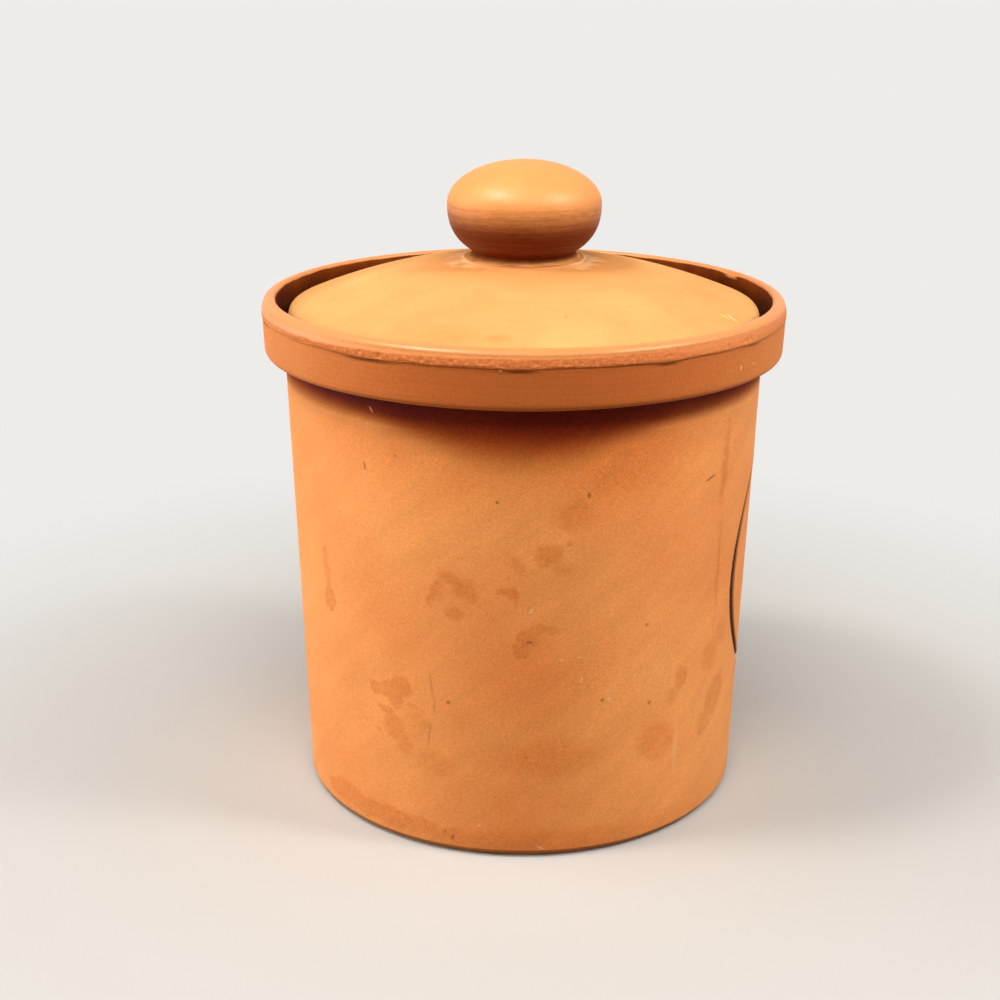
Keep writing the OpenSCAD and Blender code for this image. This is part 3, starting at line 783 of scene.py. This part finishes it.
def makeKnob():
    bm = turnOutline(knobOutline(), lambda r, z: 4.0, knob["steps"])
    draw = random.Random(5)
    lines = []  # height, half width and depth of each cut line
    for i in range(knobLook["lineCount"]):
        lines.append((draw.uniform(knob["seatZ"] + 3, knob["middleZ"]), draw.uniform(0.12, 0.3),
                      draw.uniform(0.015, 0.05)))
    for v in bm.verts:
        z = v.co.z / mm
        turn = Vector((v.co.x, v.co.y, 0)) * 0.5
        take = 0.0
        if z > knob["seatZ"] + 2.5:
            for height, width, depth in lines:
                away = abs(z - height - 0.25 * grain(turn, 14.0, height))
                if away < width:
                    fade = smooth(-0.35, 0.25, grain(turn, 9.0, height * 3.0))
                    take += depth * fade * (1 - away / width)
        v.co -= v.normal * take * mm
    return bm


# Turned terracotta: burnished by the rib, so it has a soft sheen, with fine lines below and painted shade
# over its lower half
def knobClay():
    clay = firedClay("terracottaTurned", knobLook)
    tree = clay["tree"]
    height = addNode(tree, "SeparateXYZ", {}, {0: clay["where"]}).outputs[2]
    lowerTop = (knob["middleZ"] + knobLook["lowerTop"]) * mm
    linesFull = (knob["middleZ"] - knobLook["linesFull"]) * mm
    shadeFull = (knob["middleZ"] - knobLook["shadeFull"]) * mm
    under = addNode(tree, "MapRange", eased, {0: height, 1: lowerTop, 2: linesFull}).outputs[0]
    cut = []
    for size, squeeze, roughness in (("ringMm", 0.012, 0.7), ("chatterMm", 0.12, 0.75)):
        squeezed = addNode(tree, "Mapping", {}, {0: clay["where"], 3: (squeeze, squeeze, 1)}).outputs[0]
        cut.append(addNode(tree, "TexNoise", {}, {
            "Vector": squeezed, "Scale": perMm(knobLook[size]),
            "Detail": 3.0, "Roughness": roughness}).outputs["Fac"])
    rings = addNode(tree, "Math", {"operation": "ADD"}, {0: cut[0], 1: cut[1]}).outputs[0]
    lines = addNode(tree, "MapRange", {}, {0: rings, 1: 0.7, 2: 1.3, 3: -0.4, 4: 0.32}).outputs[0]
    shade = addNode(tree, "Math", productPlus, {0: lines, 1: under, 2: 1.0}).outputs[0]
    # painted shade over the knob's lower half, darkest towards its neck
    undersideShade = addNode(tree, "MapRange", eased, {
        0: height, 1: lowerTop, 2: shadeFull, 3: 0.0, 4: 0.95}).outputs[0]
    darkened = addNode(tree, "Mix", colours, {
        0: undersideShade, 6: clay["colour"], 7: toLinear(knobLook["undersideShade"])}).outputs[2]
    clay["colour"] = addNode(tree, "VectorMath", scaled, {0: darkened, 3: shade}).outputs[0]
    clay["height"] = addNode(tree, "Math", productPlus, {0: rings, 1: under, 2: clay["grit"]}).outputs[0]
    return finishClay(clay, knobLook)


addPiece("knob_bun", makeKnob(), knobClay(), "lid", "knob")

# Slip collar

collar = {"edgeT": 0.4, "steps": 256, "rows": 14}
collar["inR"] = knob["neckR"]
collar["outR"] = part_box("knob_slip_collar")[1].x / mm
collar["lowZ"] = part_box("knob_slip_collar")[0].z / mm
collar["topZ"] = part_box("knob_slip_collar")[1].z / mm

slipLook = {
    "deep": "#c0763a", "light": "#dc9c5e", "driftMm": 5.0, "gritMm": 0.7, "gritShade": 0.1,
    "speckGapMm": 10.0, "speck": 0.3, "bump": 0.5, "bumpMm": 0.2, "rough": 0.8, "gloss": 0.03,
    "underKnobShare": 0.5, "underKnobShade": "#682304",
}


def makeCollar():
    width = collar["outR"] - collar["inR"]
    rise = collar["topZ"] - collar["lowZ"] - collar["edgeT"]
    points = [(collar["inR"], collar["lowZ"], 0), (collar["outR"], collar["lowZ"], 0)]
    for i in range(collar["rows"] + 1):
        a = pi / 2 * i / collar["rows"]
        z = collar["lowZ"] + collar["edgeT"] + rise * (1 - cos(a))
        points.append((collar["inR"] + width * (1 - sin(a)), z, 0))
    bm = turnOutline(points + [points[0]], lambda r, z: 0.6, collar["steps"])
    for v in bm.verts:
        free = smooth(collar["inR"] + 0.2, collar["inR"] + 1.2, v.co.xy.length / mm)
        if v.co.z > (collar["lowZ"] + 0.1) * mm:
            v.co -= v.normal * free * (0.12 + 0.2 * grain(v.co, 4.0)) * mm  # wiped unevenly with a finger
    return bm


# Fired slip: matt like the clay, but paler and uneven, with painted shade where it lies under the knob
def collarSlip():
    clay = firedClay("slipWipedAndFired", slipLook)
    tree = clay["tree"]
    flat = addNode(tree, "Mapping", {}, {0: clay["where"], 3: (1, 1, 0)}).outputs[0]
    reach = addNode(tree, "VectorMath", {"operation": "LENGTH"}, {0: flat}).outputs["Value"]
    # painted shade on the collar under the knob, darkest at the neck
    underKnobR = collar["inR"] + slipLook["underKnobShare"] * (collar["outR"] - collar["inR"])
    underKnobShade = addNode(tree, "MapRange", eased, {
        0: reach, 1: collar["inR"] * mm, 2: underKnobR * mm, 3: 0.9, 4: 0.0}).outputs[0]
    clay["colour"] = addNode(tree, "Mix", colours, {
        0: underKnobShade, 6: clay["colour"], 7: toLinear(slipLook["underKnobShade"])}).outputs[2]
    return finishClay(clay, slipLook)


addPiece("slip_collar", makeCollar(), collarSlip(), "lid", "knob_slip_collar")

# Seal

seal = {
    "band": 1.7, "play": 0.1, "fins": 2, "rootT": 1.6, "tipT": 0.7, "lift": 0.9, "edgeR": 0.3, "steps": 256,
}
seal["outR"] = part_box("lid_seal")[1].x / mm
seal["lowZ"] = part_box("lid_seal")[0].z / mm
seal["topZ"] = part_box("lid_seal")[1].z / mm
seal["inR"] = lid["flangeR"] - lid["grooveDepth"] + seal["play"]


def sealOutline():
    bandR = seal["inR"] + seal["band"]
    pitch = (seal["topZ"] - seal["lowZ"]) / seal["fins"]
    edgeR = seal["edgeR"]
    points = [(seal["inR"], (seal["lowZ"] + seal["topZ"]) / 2, 0), (seal["inR"], seal["lowZ"], edgeR),
              (bandR, seal["lowZ"], edgeR)]
    for i in range(seal["fins"]):
        z = seal["lowZ"] + pitch * (i + 0.5) - seal["lift"] / 2
        tip = z + seal["lift"]
        points += [(bandR, z - seal["rootT"] / 2, edgeR), (seal["outR"], tip - seal["tipT"] / 2, edgeR),
                   (seal["outR"], tip + seal["tipT"] / 2, edgeR), (bandR, z + seal["rootT"] / 2, edgeR)]
    return points + [(bandR, seal["topZ"], edgeR), (seal["inR"], seal["topZ"], edgeR), points[0]]


sealLook = {"deep": "#d9d4c6", "light": "#ece8dd", "cloudMm": 12.0, "rough": 0.42}


# Moulded silicone: milky, satin, lets a little light through
def sealSilicone():
    material, tree = newMaterial("siliconeMoulded")
    where = addNode(tree, "TexCoord", {}, {}).outputs["Object"]
    cloud = addNode(tree, "TexNoise", {}, {
        "Vector": where, "Scale": perMm(sealLook["cloudMm"])}).outputs["Fac"]
    colour = addNode(tree, "Mix", colours, {
        0: cloud, 6: toLinear(sealLook["deep"]), 7: toLinear(sealLook["light"])}).outputs[2]
    shader = addNode(tree, "BsdfPrincipled", {}, {
        "Base Color": colour, "Roughness": sealLook["rough"], "IOR": 1.41, "Subsurface Weight": 0.35,
        "Subsurface Radius": (0.9 * mm, 0.8 * mm, 0.6 * mm), "Subsurface Scale": 1.0})
    addNode(tree, "OutputMaterial", {}, {"Surface": shader.outputs[0]})
    return material


addPiece("seal_ring", turnOutline(sealOutline(), lambda r, z: 1.0, seal["steps"]), sealSilicone(),
         "seal", "lid_seal")

# Floor, light and camera

studio = {
    "floorR": 1.4, "fadeFrom": 0.08, "fadeTo": 0.38,  # the floor fades into the backdrop, in m from the axis
    "floor": "#b8b6b3", "bounce": "#7d7975", "backdrop": "#eeece9",
    "skyLow": 0.04, "skyHigh": 0.16,  # strength of the light from the horizon and from straight above
    "aim": (0, 0, 0.09),  # what the lamps point at, in m
    "lamps": {  # place in m as the camera sees it: right, away, up; then width in m, watts and colour
        "leftAbove": ((-0.62, -0.26, 1.30), 0.26, 8.5, "#fff8f0"),
        "rightAbove": ((0.86, -0.32, 1.10), 0.26, 7.7, "#fff8f0"),
        "frontAbove": ((0.0, -0.72, 1.15), 0.80, 12.6, "#fffaf4"),
        "leftSide": ((-1.18, 0.0, 0.27), 1.20, 16.4, "#fffaf4"),
        "rightSide": ((1.16, 0.0, 0.40), 1.20, 6.3, "#fffaf4"),
    },
    "glints": {  # these show only as highlights
        "leftGlint": ((-0.62, -0.30, 1.28), 0.26, 40.0, "#fff8f0"),
        "rightGlint": ((0.86, -0.36, 1.08), 0.26, 26.0, "#fff8f0"),
    },
}


def seenRay(tree):
    # 1 for what the camera, a reflection or a clear piece sees, 0 for light that bounces
    path = addNode(tree, "LightPath", {}, {}).outputs
    mirrored = addNode(tree, "Math", {"operation": "MAXIMUM"}, {
        0: path["Is Glossy Ray"], 1: path["Is Transmission Ray"]}).outputs[0]
    return addNode(tree, "Math", {"operation": "MAXIMUM"}, {
        0: path["Is Camera Ray"], 1: mirrored}).outputs[0]


# Matt painted board: pale and even, fading into the backdrop so that no horizon shows
def floorBoard():
    material, tree = newMaterial("boardPainted")
    seen = seenRay(tree)
    where = addNode(tree, "TexCoord", {}, {}).outputs["Object"]
    reach = addNode(tree, "VectorMath", {"operation": "LENGTH"}, {0: where}).outputs["Value"]
    fade = addNode(tree, "MapRange", eased, {
        0: reach, 1: studio["fadeFrom"], 2: studio["fadeTo"]}).outputs[0]
    colour = addNode(tree, "Mix", colours, {
        0: seen, 6: toLinear(studio["bounce"]), 7: toLinear(studio["floor"])}).outputs[2]
    board = addNode(tree, "BsdfDiffuse", {}, {"Color": colour}).outputs[0]
    glow = addNode(tree, "Emission", {}, {"Color": toLinear(studio["backdrop"])}).outputs[0]
    faded = addNode(tree, "Math", product, {0: fade, 1: seen}).outputs[0]
    mix = addNode(tree, "MixShader", {}, {0: faded, 1: board, 2: glow}).outputs[0]
    addNode(tree, "OutputMaterial", {}, {"Surface": mix})
    return material


def addFloor():
    bm = bmesh.new()
    bmesh.ops.create_circle(bm, cap_ends=True, segments=96, radius=studio["floorR"])
    mesh = bpy.data.meshes.new("floor")
    bm.to_mesh(mesh)
    bm.free()
    mesh.materials.append(floorBoard())
    floor = bpy.data.objects.new("floor", mesh)
    scene.collection.objects.link(floor)


def addLamps():
    for name, (place, width, watts, colour) in (studio["lamps"] | studio["glints"]).items():
        data = bpy.data.lights.new(name, "AREA")
        data.shape = "DISK"
        data.size = width
        data.energy = watts
        data.color = toLinear(colour)[:3]
        lamp = bpy.data.objects.new(name, data)
        lamp.visible_diffuse = name in studio["lamps"]
        lamp.location = Matrix.Rotation(radians(view["turn"]), 3, "Z") @ Vector(place)
        lamp.rotation_euler = (Vector(studio["aim"]) - lamp.location).to_track_quat("-Z", "Y").to_euler()
        scene.collection.objects.link(lamp)


def addWorld():
    world = bpy.data.worlds.new("studio")
    scene.world = world
    world.use_nodes = True
    tree = world.node_tree
    tree.nodes.clear()
    way = addNode(tree, "TexCoord", {}, {}).outputs["Generated"]
    height = addNode(tree, "SeparateXYZ", {}, {0: way}).outputs[2]
    glow = addNode(tree, "MapRange", {}, {
        0: height, 3: studio["skyLow"], 4: studio["skyHigh"]}).outputs[0]
    light = addNode(tree, "Background", {}, {"Color": toLinear("#ffffff"), "Strength": glow}).outputs[0]
    backdrop = addNode(tree, "Background", {}, {"Color": toLinear(studio["backdrop"])}).outputs[0]
    mix = addNode(tree, "MixShader", {}, {0: seenRay(tree), 1: light, 2: backdrop}).outputs[0]
    addNode(tree, "OutputWorld", {}, {"Surface": mix})


def addCamera():
    data = bpy.data.cameras.new("camera")
    data.lens = view["lens"]
    data.sensor_width = 36.0
    data.clip_start = 0.01
    camera = bpy.data.objects.new("camera", data)
    turn = Matrix.Rotation(radians(view["turn"]), 4, "Z")
    spot = turn @ Vector((0, -view["distance"] * mm, view["height"] * mm))
    aim = Matrix.Rotation(radians(view["turn"] + view["yaw"]), 4, "Z")
    tip = Matrix.Rotation(radians(90 - view["pitch"]), 4, "X")
    level = Matrix.Rotation(radians(view["roll"]), 4, "Z")
    camera.matrix_world = Matrix.Translation(spot) @ aim @ tip @ level
    scene.collection.objects.link(camera)
    scene.camera = camera


addFloor()
addWorld()
addLamps()
addCamera()
scene.view_settings.view_transform = "Standard"
print("studio ready")
